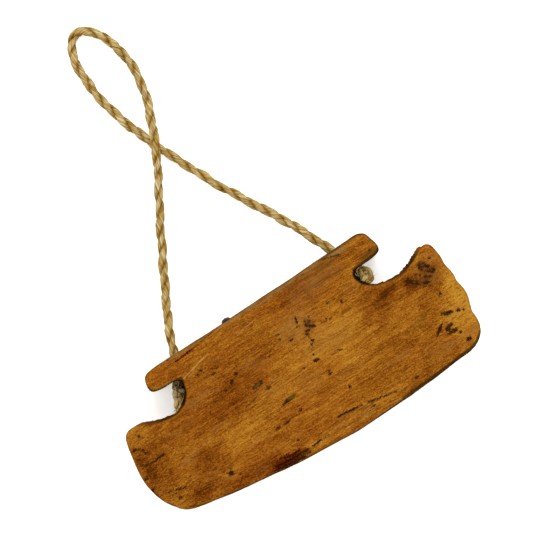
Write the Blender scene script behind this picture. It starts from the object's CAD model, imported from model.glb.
"""Looks of a hand-carved wooden animal bell with a twisted jute rope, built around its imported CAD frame."""

import math
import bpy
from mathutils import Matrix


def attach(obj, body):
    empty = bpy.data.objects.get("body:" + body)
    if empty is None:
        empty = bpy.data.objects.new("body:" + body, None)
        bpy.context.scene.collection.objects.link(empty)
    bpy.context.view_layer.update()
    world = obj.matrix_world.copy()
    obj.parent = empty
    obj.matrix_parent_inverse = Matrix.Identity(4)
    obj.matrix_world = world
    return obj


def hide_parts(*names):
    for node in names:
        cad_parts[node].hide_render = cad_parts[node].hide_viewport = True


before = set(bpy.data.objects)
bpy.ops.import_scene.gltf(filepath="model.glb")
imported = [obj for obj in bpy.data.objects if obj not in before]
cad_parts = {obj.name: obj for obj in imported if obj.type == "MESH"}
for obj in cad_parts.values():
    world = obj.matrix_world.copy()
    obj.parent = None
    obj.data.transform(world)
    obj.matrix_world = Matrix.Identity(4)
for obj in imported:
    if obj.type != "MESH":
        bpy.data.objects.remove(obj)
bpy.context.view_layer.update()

from types import SimpleNamespace

import bmesh
import bpy
import numpy as np
from mathutils import Vector

MM = 0.001

# ---------------------------------------------------------------- noise and curves

HASH_PRIMES = np.array([73856093, 19349663, 83492791])
WORD = 0xFFFFFFFF


def hashed(cell, seed):
    """A fixed random number from 0 to 1 for each whole-number cell."""
    spread = cell * HASH_PRIMES
    h = (spread[:, 0] ^ spread[:, 1] ^ spread[:, 2] ^ (seed * 40503 + 977)) & WORD
    h = ((h ^ (h >> 15)) * 1103515245) & WORD
    h = ((h ^ (h >> 13)) * 1664525 + 1013904223) & WORD
    return (h ^ (h >> 16)) / WORD


def noise(points, seed=0):
    """Smooth noise from -1 to 1, with features one unit across."""
    base = np.floor(points).astype(np.int64)
    part = points - base
    part = part * part * (3 - 2 * part)
    total = np.zeros(len(points))
    for corner in np.ndindex(2, 2, 2):
        c = np.array(corner)
        total += np.prod(np.where(c, part, 1 - part), axis=1) * hashed(base + c, seed)
    return 2 * total - 1


def noise_along(s, seed=0):
    """Smooth noise along a line."""
    s = np.asarray(s, float)
    return noise(np.stack([s, np.full_like(s, 0.5), np.full_like(s, 0.5)], axis=1), seed)


def gouges(points, seed=0):
    """Distance to the nearest of scattered points one unit apart, as between a chisel's scoops."""
    base = np.floor(points).astype(np.int64)
    best = np.full(len(points), 9.0)
    for shift in np.ndindex(3, 3, 3):
        cell = base + np.array(shift) - 1
        centre = cell + np.stack([hashed(cell, seed + k) for k in range(3)], axis=1)
        best = np.minimum(best, np.linalg.norm(points - centre, axis=1))
    return best


def unit(v):
    return v / np.maximum(np.linalg.norm(v, axis=-1, keepdims=True), 1e-12)


def smooth(points, steps):
    """The same smooth curve through every point as the CAD rope's."""
    p = np.array(points, float)
    ahead = unit(np.diff(p, axis=0))
    heading = unit(np.vstack([ahead[:1], ahead[:-1] + ahead[1:], ahead[-1:]]))
    out = []
    for i in range(len(p) - 1):
        size = np.linalg.norm(p[i + 1] - p[i])
        for k in range(steps):
            t = k / steps
            out.append(p[i] * (2 * t**3 - 3 * t**2 + 1) + heading[i] * size * (t**3 - 2 * t**2 + t)
                       + p[i + 1] * (3 * t**2 - 2 * t**3) + heading[i + 1] * size * (t**3 - t**2))
    out.append(p[-1])
    return np.array(out)


def travelled(path):
    """Length from the start to each point of a path."""
    return np.concatenate([[0], np.cumsum(np.linalg.norm(np.diff(path, axis=0), axis=1))])


def evenly(path, step):
    """The same path with points about a step apart."""
    s = travelled(path)
    at = np.linspace(0, s[-1], max(2, int(round(s[-1] / step)) + 1))
    return np.stack([np.interp(at, s, path[:, k]) for k in range(3)], axis=1)


def frames_along(path):
    """Tangent, side and up at each point, turning as little as they can."""
    tangent = unit(np.gradient(path, axis=0))
    side = np.zeros_like(path)
    last = np.cross(tangent[0], [0.13, 0.2, 0.97])
    for i, t in enumerate(tangent):
        last = last - t * (last @ t)
        last = last / np.linalg.norm(last)
        side[i] = last
    return tangent, side, np.cross(tangent, side)


# ---------------------------------------------------------------- meshes


def new_piece(name, points, faces, smooth_faces=True):
    """A mesh object from points in millimetres."""
    mesh = bpy.data.meshes.new(name)
    mesh.from_pydata((np.asarray(points) * MM).tolist(), [], faces)
    mesh.polygons.foreach_set("use_smooth", [smooth_faces] * len(mesh.polygons))
    mesh.update()
    obj = bpy.data.objects.new(name, mesh)
    bpy.context.scene.collection.objects.link(obj)
    return obj


def grid_faces(rings, sides, closed=False):
    """Quads of a tube of rings, with its ends capped unless it closes on itself."""
    faces = []
    last = rings if closed else rings - 1
    for i in range(last):
        a = i * sides
        b = (i + 1) % rings * sides
        for k in range(sides):
            m = (k + 1) % sides
            faces.append((a + k, a + m, b + m, b + k))
    if not closed:
        faces.append(tuple(reversed(range(sides))))
        faces.append(tuple(range((rings - 1) * sides, rings * sides)))
    return faces


def tube(path, size, sides, side, up):
    """Points in rings about a path. Size is one radius, or an array of them that fits the rings."""
    turn = np.linspace(0, 2 * math.pi, sides, endpoint=False)
    out = np.cos(turn)[None, :, None] * side[:, None, :] + np.sin(turn)[None, :, None] * up[:, None, :]
    return (path[:, None, :] + size * out).reshape(-1, 3)


def joined(*parts):
    """Meshes as one. Each part is its points, its faces and any fields of its points."""
    starts = np.cumsum([0] + [len(part[0]) for part in parts]).tolist()
    faces = [tuple(start + k for k in face) for start, part in zip(starts, parts) for face in part[1]]
    fields = [np.concatenate(column) for column in zip(*(part[2:] for part in parts))]
    return (np.concatenate([part[0] for part in parts]), faces, *fields)


def set_points(obj, points):
    obj.data.vertices.foreach_set("co", (points * MM).astype(np.float32).ravel())
    obj.data.update()


def read(items, key, width, kind=np.float32):
    """A property of each item of a mesh, as an array."""
    values = np.zeros(len(items) * width, kind)
    items.foreach_get(key, values)
    return values.reshape(-1, width)


def get_points(obj):
    return read(obj.data.vertices, "co", 3).astype(float) / MM


def get_normals(obj):
    return read(obj.data.vertex_normals, "vector", 3).astype(float)


def get_edges(obj):
    return read(obj.data.edges, "vertices", 2, np.int32)


def set_field(obj, name, values):
    """Keeps one number, or one vector, for each vertex."""
    values = np.asarray(values, np.float32)
    kind, key = ("FLOAT_VECTOR", "vector") if values.ndim == 2 else ("FLOAT", "value")
    obj.data.attributes.new(name, kind, "POINT").data.foreach_set(key, values.ravel())


def get_field(obj, name):
    return read(obj.data.attributes[name].data, "value", 1)[:, 0]


def relax(points, edges, rounds, share):
    """Moves each point some way to its neighbours' middle, several times."""
    n = len(points)
    count = np.maximum(np.bincount(edges.ravel(), minlength=n), 1)[:, None]
    share = np.broadcast_to(share, n)[:, None]
    for _ in range(rounds):
        near = np.stack([np.bincount(edges[:, 0], points[edges[:, 1], k], n)
                         + np.bincount(edges[:, 1], points[edges[:, 0], k], n)
                         for k in range(3)], axis=1)
        points = points + share * (near / count - points)
    return points


def remeshed(node, name, voxel):
    """A fine, even copy of a CAD node."""
    obj = bpy.data.objects.new(name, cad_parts[node].data.copy())
    bpy.context.scene.collection.objects.link(obj)
    modifier = obj.modifiers.new("voxels", "REMESH")
    modifier.mode = "VOXEL"
    modifier.voxel_size = voxel * MM
    modifier.use_smooth_shade = True
    graph = bpy.context.evaluated_depsgraph_get()
    mesh = bpy.data.meshes.new_from_object(obj.evaluated_get(graph))
    obj.modifiers.clear()
    obj.data = mesh
    mesh.materials.clear()
    return obj


def dress(obj, material, slot, body, *nodes):
    """Gives a piece its material and body, and says which CAD nodes it stands for."""
    obj.data.materials.clear()
    obj.data.materials.append(material)
    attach(obj, body)
    if nodes:
        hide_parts(*nodes)


# ---------------------------------------------------------------- material graphs


def srgb(r, g, b, k=1.0):
    """A screen colour as linear light, scaled by k and kept below white."""
    lin = [c / 12.92 if c <= 0.04045 else ((c + 0.055) / 1.055) ** 2.4 for c in (r / 255, g / 255, b / 255)]
    return (min(0.9, lin[0] * k), min(0.86, lin[1] * k), min(0.75, lin[2] * k), 1.0)


class Graph:
    """A material's node tree, built one value at a time."""

    def __init__(self, name, roughness, specular):
        self.material = bpy.data.materials.new(name)
        self.material.use_nodes = True
        self.tree = self.material.node_tree
        self.shader = self.tree.nodes["Principled BSDF"]
        self.shader.inputs["Roughness"].default_value = roughness
        self.shader.inputs["Specular IOR Level"].default_value = specular
        place = self.node("TexCoord").outputs["Object"]
        self.mm = self.vector("MULTIPLY", place, (1 / MM, 1 / MM, 1 / MM))

    def feed(self, socket, value):
        if isinstance(value, bpy.types.NodeSocket):
            self.tree.links.new(value, socket)
        else:
            socket.default_value = value

    def node(self, kind, inputs=()):
        """A new node, with a number or another node's output in each of the inputs given."""
        node = self.tree.nodes.new("ShaderNode" + kind)
        for key, value in inputs:
            self.feed(node.inputs[key], value)
        return node

    def vector(self, operation, a, b):
        node = self.node("VectorMath", enumerate((a, b)))
        node.operation = operation
        return node.outputs[0]

    def math(self, operation, a, b=0.0, clamp=False):
        node = self.node("Math", enumerate((a, b)))
        node.operation = operation
        node.use_clamp = clamp
        return node.outputs[0]

    def times(self, a, b):
        return self.math("MULTIPLY", a, b)

    def plus(self, *terms):
        total = terms[0]
        for term in terms[1:]:
            total = self.math("ADD", total, term)
        return total

    def stretched(self, x, y, z, source=None):
        return self.vector("MULTIPLY", source or self.mm, (x, y, z))

    def noise(self, place, scale=1.0, detail=2.0, rough=0.5, output="Fac"):
        inputs = zip(("Vector", "Scale", "Detail", "Roughness"), (place, scale, detail, rough))
        return self.node("TexNoise", inputs).outputs[output]

    def swing(self, place, size, scale=1.0, detail=2.0):
        """Noise about zero, up to size either way."""
        return self.times(self.math("SUBTRACT", self.noise(place, scale, detail), 0.5), 2 * size)

    def warped(self, place, scale, size):
        """Places pushed about by slow noise."""
        shift = self.vector("SUBTRACT", self.noise(place, scale, output="Color"), (0.5, 0.5, 0.5))
        return self.vector("ADD", place, self.vector("MULTIPLY", shift, size))

    def remap(self, value, low, high, to_low=0.0, to_high=1.0):
        keys = ("Value", "From Min", "From Max", "To Min", "To Max")
        node = self.node("MapRange", zip(keys, (value, low, high, to_low, to_high)))
        node.interpolation_type = "SMOOTHSTEP"
        return node.outputs["Result"]

    def ramp(self, value, k, stops):
        """Colour by value. Each stop is a value and a screen colour, which is scaled by k."""
        node = self.node("ValToRGB", [("Fac", value)])
        marks = node.color_ramp.elements
        while len(marks) < len(stops):
            marks.new(0.5)
        for mark, (at, *rgb) in zip(marks, stops):
            mark.position = at
            mark.color = srgb(*rgb, k)
        return node.outputs["Color"]

    def mix(self, share, a, b, blend="MIX"):
        node = self.node("Mix")
        node.data_type = "RGBA"
        node.blend_type = blend
        for key, value in ((0, share), (6, a), (7, b)):
            self.feed(node.inputs[key], value)
        return node.outputs[2]

    def field(self, name, key="Fac"):
        node = self.node("Attribute")
        node.attribute_name = name
        return node.outputs[key]

    def bump(self, height, strength, distance):
        """Height in units of distance, in millimetres."""
        node = self.node("Bump", (("Strength", strength), ("Distance", distance * MM), ("Height", height)))
        self.feed(self.shader.inputs["Normal"], node.outputs["Normal"])

    def finish(self, colour, roughness=None):
        self.feed(self.shader.inputs["Base Color"], colour)
        if roughness is not None:
            self.feed(self.shader.inputs["Roughness"], roughness)
        return self.material


# ---------------------------------------------------------------- camera

# The camera's place in metres, its turn about Z in degrees, its lens and its sensor in millimetres
CAMERA_AT = (0.0207, 0.0685, 1.400)
CAMERA_TURN = -32
CAMERA_LENS = 138.3
SENSOR_W = 36


def make_camera():
    """Looks straight down on the bell, turned as the bell lies."""
    data = bpy.data.cameras.new("camera")
    data.sensor_width = SENSOR_W
    data.lens = CAMERA_LENS
    camera = bpy.data.objects.new("camera", data)
    camera.location = CAMERA_AT
    camera.rotation_euler = (0, 0, math.radians(CAMERA_TURN))
    bpy.context.scene.collection.objects.link(camera)
    bpy.context.scene.camera = camera


make_camera()

# ---------------------------------------------------------------- rope

# Sizes in millimetres, as in the CAD source
ROPE_D = 6.2
LAY_Z = ROPE_D / 2
OVER_Z = 9.6
HOLE_Z = 19
KNOT_LEFT = (-75.2, 28.2, HOLE_Z)
KNOT_RIGHT = (75.6, 29, HOLE_Z)
ROUTE = [
    KNOT_LEFT, (-70, 36, HOLE_Z), (-63, 53, HOLE_Z),
    (-56, 71, 14), (-47, 90, 6), (-40, 104, LAY_Z), (-33, 117, LAY_Z),
    (-25, 132, 4.5), (-17, 146, 7), (-9, 160, 9), (-1, 175, OVER_Z), (4, 187, 8.5), (8, 197, 6.5),
    (11, 206, 4.5), (13.5, 215, LAY_Z), (15.3, 228, LAY_Z), (15, 241, LAY_Z), (12, 253, LAY_Z),
    (7, 264, LAY_Z), (0, 271, LAY_Z), (-7, 271, LAY_Z), (-13, 265.5, LAY_Z), (-16, 256, LAY_Z),
    (-16.5, 241, LAY_Z), (-15, 226, LAY_Z), (-11, 209, LAY_Z), (-6, 195, LAY_Z),
    (0.5, 178, LAY_Z), (9, 160, LAY_Z), (18, 141, LAY_Z), (29, 121, LAY_Z), (38, 105.5, 4),
    (47, 90, 8), (53, 78, 13), (58.5, 66, 17),
    (63, 55, HOLE_Z), (71, 36, HOLE_Z), KNOT_RIGHT,
]
# Twist of the two plies, and the spin of the fibres in each
LAY_PITCH = 25.2
SPIN_PITCH = 13.0
PLY_OFFSET = 1.2
PLY_RADIAL = 1.88
PLY_ACROSS = 2.25
PLY_SIZE = (1.13, 0.88)
# Spacing of the rings along the rope, and the ends of the cord that the holes hold straight
ROPE_STEP = 0.56
HELD = 34


def twisted(path, size=1.0, seed=0, phase=0.0, sides=32, taper=0.0, full=1.0, rough=1.0):
    """Points, faces and fibre fields of two plies twisted together along a path in millimetres."""
    s = travelled(path)
    tangent, side, up = frames_along(path)
    angle = np.linspace(0, 2 * math.pi, sides, endpoint=False)
    plies = []
    ends = np.clip(np.minimum(s, s[-1] - s) / 1.5, 0, 1) ** 0.5 if taper else np.ones_like(s)
    for ply in range(2):
        turn = 2 * math.pi * s / (LAY_PITCH * size) + math.pi * ply + phase
        turn = turn + 0.7 * noise_along(s / 23, seed + 5)
        out = np.cos(turn)[:, None] * side + np.sin(turn)[:, None] * up
        across = np.cross(tangent, out)
        lump = 1 + 0.13 * noise_along(s / 7 + 40 * ply, seed + ply)
        lump = lump + 0.06 * noise_along(s / 2.1, seed + 7 + ply)
        lump = lump * PLY_SIZE[ply] * full
        lump = lump * (1 - taper * (1 - ends))
        spun = angle[None, :] + 2 * math.pi * s[:, None] / SPIN_PITCH
        ring = np.stack([np.cos(spun).ravel() * 1.7, np.sin(spun).ravel() * 1.7,
                         np.repeat(s / 11 + 30 * ply, sides)], axis=1)
        ridge = 0.15 * noise(ring * 0.9, seed + 3) + 0.1 * noise(ring * 2.1, seed + 4)
        ridge = rough * ridge.reshape(len(s), sides)
        radial = PLY_RADIAL * np.cos(angle)[None, :] * lump[:, None] * (1 + ridge)
        radial = np.maximum(radial + PLY_OFFSET, 0.05)
        sideways = PLY_ACROSS * np.sin(angle)[None, :] * lump[:, None] * (1 + ridge)
        ring_points = (path[:, None, :] + size * radial[:, :, None] * out[:, None, :]
                       + size * sideways[:, :, None] * across[:, None, :])
        deep = 1 - np.clip(radial / (PLY_OFFSET + PLY_RADIAL), 0, 1)
        plies.append((ring_points.reshape(-1, 3), grid_faces(len(s), sides), ring, deep.ravel()))
    return joined(*plies)


# Scales the jute's colours, given as they look in the light, to its own
JUTE_K = 0.8


def jute_material(name, k=JUTE_K, lift=0.0, dull=0.0):
    """Golden jute: pale fibres with brown depths between them, lightened by lift and greyed by dull."""
    g = Graph(name, 0.85, 0.05)
    fibre = g.field("fibre", "Vector")
    bundles = g.noise(g.stretched(0.7, 0.7, 0.4, fibre), detail=2)
    strands = g.noise(g.stretched(1.5, 1.5, 0.5, fibre), detail=3, rough=0.7)
    fine = g.noise(g.stretched(4.2, 4.2, 1.2, fibre), detail=3, rough=0.6)
    patches = g.noise(g.mm, scale=0.16, detail=3)
    groove = g.remap(g.field("groove"), 0.12, 0.8)
    groove = g.times(groove, g.remap(g.noise(g.mm, scale=0.4, detail=2), 0.35, 0.65, 0.5, 1.0))
    tone = g.plus(g.times(bundles, 0.8), g.times(strands, 1.8), g.times(fine, 1.6), g.times(patches, 0.6),
                  lift - 1.83)
    tone = g.math("SUBTRACT", tone, g.times(groove, 0.24))
    colour = g.ramp(tone, k, [
        (0.0, 104, 64, 4), (0.2, 142, 100, 22), (0.38, 167, 132, 58), (0.55, 184, 154, 90),
        (0.72, 200, 174, 116), (0.95, 230, 213, 170)])
    colour = g.mix(g.times(groove, 0.32), colour, srgb(130, 84, 12, k))
    gaps = g.remap(g.noise(g.stretched(1.7, 1.7, 1.4, fibre), detail=2), 0.58, 0.68)
    colour = g.mix(g.times(gaps, 0.6), colour, srgb(122, 80, 10, k))
    colour = g.mix(dull, colour, srgb(128, 106, 78, k))
    height = g.plus(g.times(bundles, 0.5), g.times(strands, 0.8), g.times(fine, 0.3))
    g.bump(g.plus(height, g.times(gaps, -0.5)), 1.0, 0.6)
    return g.finish(colour)


def rope_path():
    """The route in millimetres, with the small wander of a stiff cord on its free run."""
    path = smooth(ROUTE, 8)
    path[:, 2] = np.maximum(path[:, 2], LAY_Z)
    path = evenly(path, ROPE_STEP)
    s = travelled(path)
    free = np.clip(np.minimum(s - HELD, s[-1] - HELD - s) / 20, 0, 1)
    wander = np.stack([noise_along(s / 17, 21), noise_along(s / 17, 22)], axis=1)
    path[:, :2] += 0.25 * free[:, None] * wander
    return path


def fullness(path):
    """The twist is tighter along the crossing legs than in the loop and by the bell."""
    return 1 + 0.09 * np.interp(path[:, 1], [100, 125, 160, 190], [1, 0, 0, 1])


# Each hair is a thin tube of this many rings and sides
HAIR_RINGS = 6
HAIR_SIDES = 3


def fuzz(path, count, seed, reach, base=2.6, stout=1.0):
    """Loose hairs that stand off a rope, as one mesh of thin tubes."""
    rng = np.random.default_rng(seed)
    tangent, side, up = frames_along(path)
    hairs = []
    for _ in range(count):
        i = int(rng.integers(2, len(path) - 2))
        turn = rng.uniform(0, 2 * math.pi)
        out = math.cos(turn) * side[i] + math.sin(turn) * up[i]
        size = rng.uniform(0.35, 1.0) * reach
        lean = rng.uniform(-1, 1)
        curl = rng.normal(0, 0.35, 3)
        t = np.linspace(0, 1, HAIR_RINGS)[:, None]
        along = tangent[i] * math.copysign(1, lean) * (0.5 + abs(lean))
        hair = path[i] + out * base + size * (t * (0.55 * out + 0.6 * along) + t**2 * curl)
        hair[:, 2] = np.maximum(hair[:, 2], 0.1)
        _, a, b = frames_along(hair)
        thick = stout * rng.uniform(0.045, 0.075) * (1 - 0.6 * t)
        hairs.append((tube(hair, thick[:, :, None], HAIR_SIDES, a, b), grid_faces(HAIR_RINGS, HAIR_SIDES)))
    return joined(*hairs)


def add_fibre_fields(obj, fibre, groove):
    set_field(obj, "fibre", fibre)
    set_field(obj, "groove", groove)


ROPE_HAIRS = 300
ROPE_HAIR_REACH = 5.0
# The first and last rings, where the rope is inside the bell and has no hairs
INSIDE_RINGS = 40


def make_rope(jute, hair):
    """The rope from hole to hole, its loose hairs, and the path that it lies along."""
    path = rope_path()
    points, faces, fibre, groove = twisted(path, full=fullness(path))
    points[:, 2] = np.maximum(points[:, 2], 0.02)
    rope = new_piece("jute_rope", points, faces)
    add_fibre_fields(rope, fibre, groove)
    dress(rope, jute, "jute", "bell", "rope")
    hairs, hair_faces = fuzz(path[INSIDE_RINGS:-INSIDE_RINGS], ROPE_HAIRS, 5, ROPE_HAIR_REACH)
    loose = new_piece("rope_fuzz", hairs, hair_faces)
    dress(loose, hair, "jute", "bell")
    return rope, loose, path


def turned(points, first, second, degrees):
    """Points turned in the plane of two of their axes."""
    c, s = math.cos(math.radians(degrees)), math.sin(math.radians(degrees))
    turn = np.eye(3)
    turn[first, first] = turn[second, second] = c
    turn[first, second] = s
    turn[second, first] = -s
    return points @ turn


def knot_path(centre, tilt, spin, stretch):
    """A tight overhand knot as a trefoil, drawn out by a number along the hole, across it and up."""
    t = np.linspace(0, 2 * math.pi, 120, endpoint=False)
    loop = np.stack([np.sin(t) + 2 * np.sin(2 * t), np.cos(t) - 2 * np.cos(2 * t),
                     -2.5 * np.sin(3 * t)], axis=1)
    loop = turned(turned(loop, 0, 1, spin), 1, 2, tilt)
    along, across = np.array([0.53, 0.85, 0]), np.array([0.85, -0.53, 0])
    return (np.array(centre) + stretch[0] * (loop @ along)[:, None] * along
            + stretch[1] * (loop @ across)[:, None] * across + stretch[2] * loop * [0, 0, 1])


STRAND_RINGS = 7
STRAND_SIDES = 5


def frayed_end(root, tail, count, seed):
    """Parted strands that stand out of the cord's cut end."""
    rng = np.random.default_rng(seed)
    strands = []
    for k in range(count):
        aim = unit(tail + rng.normal(0, 2.6, 3))
        size = rng.uniform(3, 7.5)
        t = np.linspace(0, 1, STRAND_RINGS)[:, None]
        strand = root + size * (t * aim + 0.35 * t**2 * rng.normal(0, 1, 3))
        _, a, b = frames_along(strand)
        thick = rng.uniform(0.12, 0.34) * (1 - 0.7 * t)
        points = tube(strand, thick[:, :, None], STRAND_SIDES, a, b)
        fibre = np.full(points.shape, 0.3 * k) + rng.uniform(0, 0.2, points.shape)
        groove = np.full(len(points), rng.uniform(0, 0.3))
        strands.append((points, grid_faces(STRAND_RINGS, STRAND_SIDES), fibre, groove))
    return joined(*strands)


# Each stopper knot's middle, tilt, spin, stretch, cut end, number of frayed strands and seed
KNOTS = {
    "left": ((-74.0, 28.0, HOLE_Z), 28, 75, (1.85, 0.95, 1.35), (-6.8, -9.4, 0.0), 80, 31),
    "right": ((72.8, 28.4, 22), -24, 70, (1.8, 1.35, 1.4), (-1.6, -5.4, 1.5), 18, 32),
}
KNOT_HAIRS = 280
KNOT_STEP = 0.4


def make_knot(side_name, jute):
    """The stopper knot, with the rope's cut end sticking out of it."""
    centre, tilt, spin, stretch, tail, strands, seed = KNOTS[side_name]
    centre, tail = np.array(centre, float), np.array(tail, float)
    loop = knot_path(centre, tilt, spin, stretch)
    loop = evenly(np.vstack([loop, loop[:6]]), KNOT_STEP)
    stub = evenly(smooth([centre, centre + 0.5 * tail, centre + tail], 8), KNOT_STEP)
    hairs, hair_faces = fuzz(loop, KNOT_HAIRS, seed + 3, reach=3.2, base=1.75, stout=2.2)
    points, faces, fibre, groove = joined(
        twisted(loop, 0.8, seed, sides=24, rough=1.9),
        twisted(stub, 1.05, seed + 20, phase=0.8, sides=24, taper=0.5),
        frayed_end(centre + tail * 0.82, tail, strands, seed),
        (hairs, hair_faces, hairs * 0.4, np.full(len(hairs), 0.15)))
    knot = new_piece(side_name + "_stopper_knot", points, faces)
    add_fibre_fields(knot, fibre, groove)
    dress(knot, jute, "jute", "bell", side_name + "_knot")
    return knot


rope, loose, path = make_rope(jute_material("jute"), jute_material("jute_hair"))
left_knot = make_knot("left", jute_material("left_knot_jute", k=2.2, lift=-0.04, dull=0.45))
right_knot = make_knot("right", jute_material("right_knot_jute", k=2.4, lift=-0.02, dull=0.2))

# ---------------------------------------------------------------- marks on the wood

# Dark marks on the front: centre x and y, half length, half width, strength and, if turned, the angle
DARK = [
    # left end
    (-118, 11.4, 1.8, 0.9, 0.85), (-115, 10.4, 1.6, 0.7, 0.75), (-113, 8.6, 1.2, 1, 0.75),
    (-112, 6, 1.8, 0.7, 0.75), (-116.5, 7, 1.3, 0.7, 0.65), (-118.5, 4.5, 1.2, 0.8, 0.65),
    (-115, 3.6, 1.2, 0.6, 0.6), (-119, 0.5, 1.6, 1.2, 0.6), (-116.5, -1, 1.2, 0.8, 0.6),
    (-117.5, -3.5, 1.2, 0.6, 0.6), (-121.5, -8.8, 1.5, 0.8, 0.8), (-121.5, -17.5, 1.2, 1, 0.8),
    (-110.5, 18, 1, 0.8, 0.8), (-108, -31, 2, 1, 0.7), (-104, -32.5, 1.2, 0.8, 0.6),
    (-71, -34.5, 1.8, 1.2, 1), (-69.5, -31.5, 0.8, 0.6, 0.8), (-66, -38, 0.8, 0.6, 0.7),
    (-98, 8, 3, 3, 0.3),
    # top left
    (-68, 50.5, 0.8, 0.6, 0.7), (-53, 33.2, 0.8, 0.7, 0.9), (-56, 32, 0.8, 0.6, 0.8),
    (-46.5, 26.7, 1.5, 0.6, 0.8), (-43, 29, 1.5, 0.6, 0.7), (-39, 16, 1.6, 0.8, 1, 50),
    (-45.5, 13.2, 0.8, 0.7, 0.8), (-34, 19, 1.5, 1, 0.8), (-31, 23, 0.8, 0.7, 0.7),
    (-9, 17, 0.7, 0.7, 0.8),
    # centre
    (-25.5, 5.3, 4.2, 1.3, 0.9, 8), (-20.5, 0, 2, 0.7, 0.8), (-20, 1.7, 1.2, 0.5, 0.7),
    (-34, -5, 4, 0.5, 0.45), (-13, -13.5, 6, 1.1, 0.9, 8), (-29, -25.5, 2, 0.7, 0.8),
    (-22, -25.5, 3, 0.6, 0.8), (-10.5, -23.2, 1.2, 0.5, 0.8), (-13.5, -24.5, 0.8, 0.5, 0.7),
    (-22, -39, 0.8, 0.7, 0.8), (-30, -50.3, 6, 0.8, 1, 2), (-38, -43.4, 3.5, 0.5, 0.8),
    (33, -43, 3.2, 0.6, 0.9, -8), (32, -46.3, 2, 0.4, 0.8), (16, -1.2, 1.9, 1, 0.95, -10),
    (6, -1.3, 1.6, 0.5, 0.7), (20.4, 11.2, 1, 0.7, 0.95, -20), (20, 14, 0.5, 0.9, 0.75),
    (19.8, 16.6, 1.3, 0.9, 0.85), (18.8, 9.2, 0.9, 0.7, 0.8), (17.3, 6.2, 0.6, 0.6, 0.75),
    (16.2, 3, 0.7, 0.6, 0.75), (32.4, -3.3, 1.5, 0.25, 0.95, -25), (30, -2.5, 1.4, 0.2, 0.5),
    (19.3, -11.5, 1, 0.4, 0.8), (19.3, -13.3, 1.2, 0.5, 0.9), (25.3, -27.5, 0.7, 1.2, 0.9),
    (23.5, -16, 0.9, 0.7, 0.45), (8.6, 18.6, 2.1, 0.5, 0.88),
    # upper right
    (18.9, 29, 0.6, 1.2, 0.95, -15), (18, 26.6, 0.6, 0.9, 0.9, -15), (17.3, 23.9, 1, 0.5, 0.75),
    (26.3, 18.9, 1.7, 0.8, 0.9, -20), (22.8, 21.6, 1.3, 1.1, 0.88), (24.2, 20, 1.2, 0.9, 0.82),
    (21.2, 18.3, 1.8, 0.8, 0.85), (25, 23, 1.3, 1, 0.74), (23, 24.6, 0.8, 1.1, 0.74),
    (26.8, 25.5, 0.6, 1, 0.66), (2.8, 26.2, 1.2, 0.5, 0.8), (2.3, 23, 0.6, 0.6, 0.8),
    (42, 26.8, 1, 0.6, 0.8), (50.5, 22.8, 0.8, 0.8, 0.9), (36, 18.5, 0.8, 0.6, 0.7),
    (37.8, 17, 0.8, 0.6, 0.7), (84.5, 41.5, 0.8, 0.8, 0.8), (80, 12.5, 6, 2, 0.35), (76, 10, 3, 1.5, 0.45),
    (70, 11, 1, 0.6, 0.6),
    # right end
    (95.2, 10.6, 2.6, 1.1, 0.82, -30), (97.5, 8.2, 2.6, 1.5, 0.82, -30), (93, 9.5, 1.5, 0.6, 0.78),
    (99, 5.8, 1.5, 0.8, 0.78, -30), (95.5, 12.2, 1, 0.6, 0.78), (108, 14.6, 3, 1.9, 0.78, -10),
    (111, 12.4, 1.6, 1, 0.82, -20), (106.5, 12.6, 1.2, 0.7, 0.74), (112, 8.4, 2.4, 1.4, 0.88, -15),
    (109.5, 9.6, 1, 0.6, 0.74), (106.6, 7.2, 1.2, 1, 0.78), (108.8, 5.6, 1.6, 0.6, 0.84, -20),
    (104.8, 3.4, 2.2, 0.9, 0.9, -20), (102, 2, 1.4, 0.5, 0.82), (103.5, 9.8, 1, 0.6, 0.68),
    (105.5, 0.6, 1.2, 0.5, 0.68), (101.5, 11.8, 1, 0.6, 0.68), (107, 16.8, 1.8, 0.7, 0.68),
    (115, 16.2, 0.9, 0.6, 0.8, -30), (108.4, -7.6, 0.9, 1.1, 0.85, 20), (107.2, -8.6, 0.8, 0.5, 0.6),
    (106, -21, 4, 1.3, 0.85, -15), (103, -19.5, 2, 1, 0.75), (113, -23, 1.5, 1.2, 0.8),
    (116, -24.5, 0.8, 0.8, 0.8), (95.3, -27.5, 5, 1, 0.9, 35), (100.5, -30, 2, 1.8, 0.8),
    (103, -28.5, 2, 1.3, 0.8), (103, -33, 3, 1.3, 0.8), (100, -33, 2, 1, 0.75), (106.5, -36, 1, 0.8, 0.8),
    (109, -43, 1.8, 1.2, 0.9), (66, -45.5, 1.5, 0.8, 0.8),
]
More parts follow.
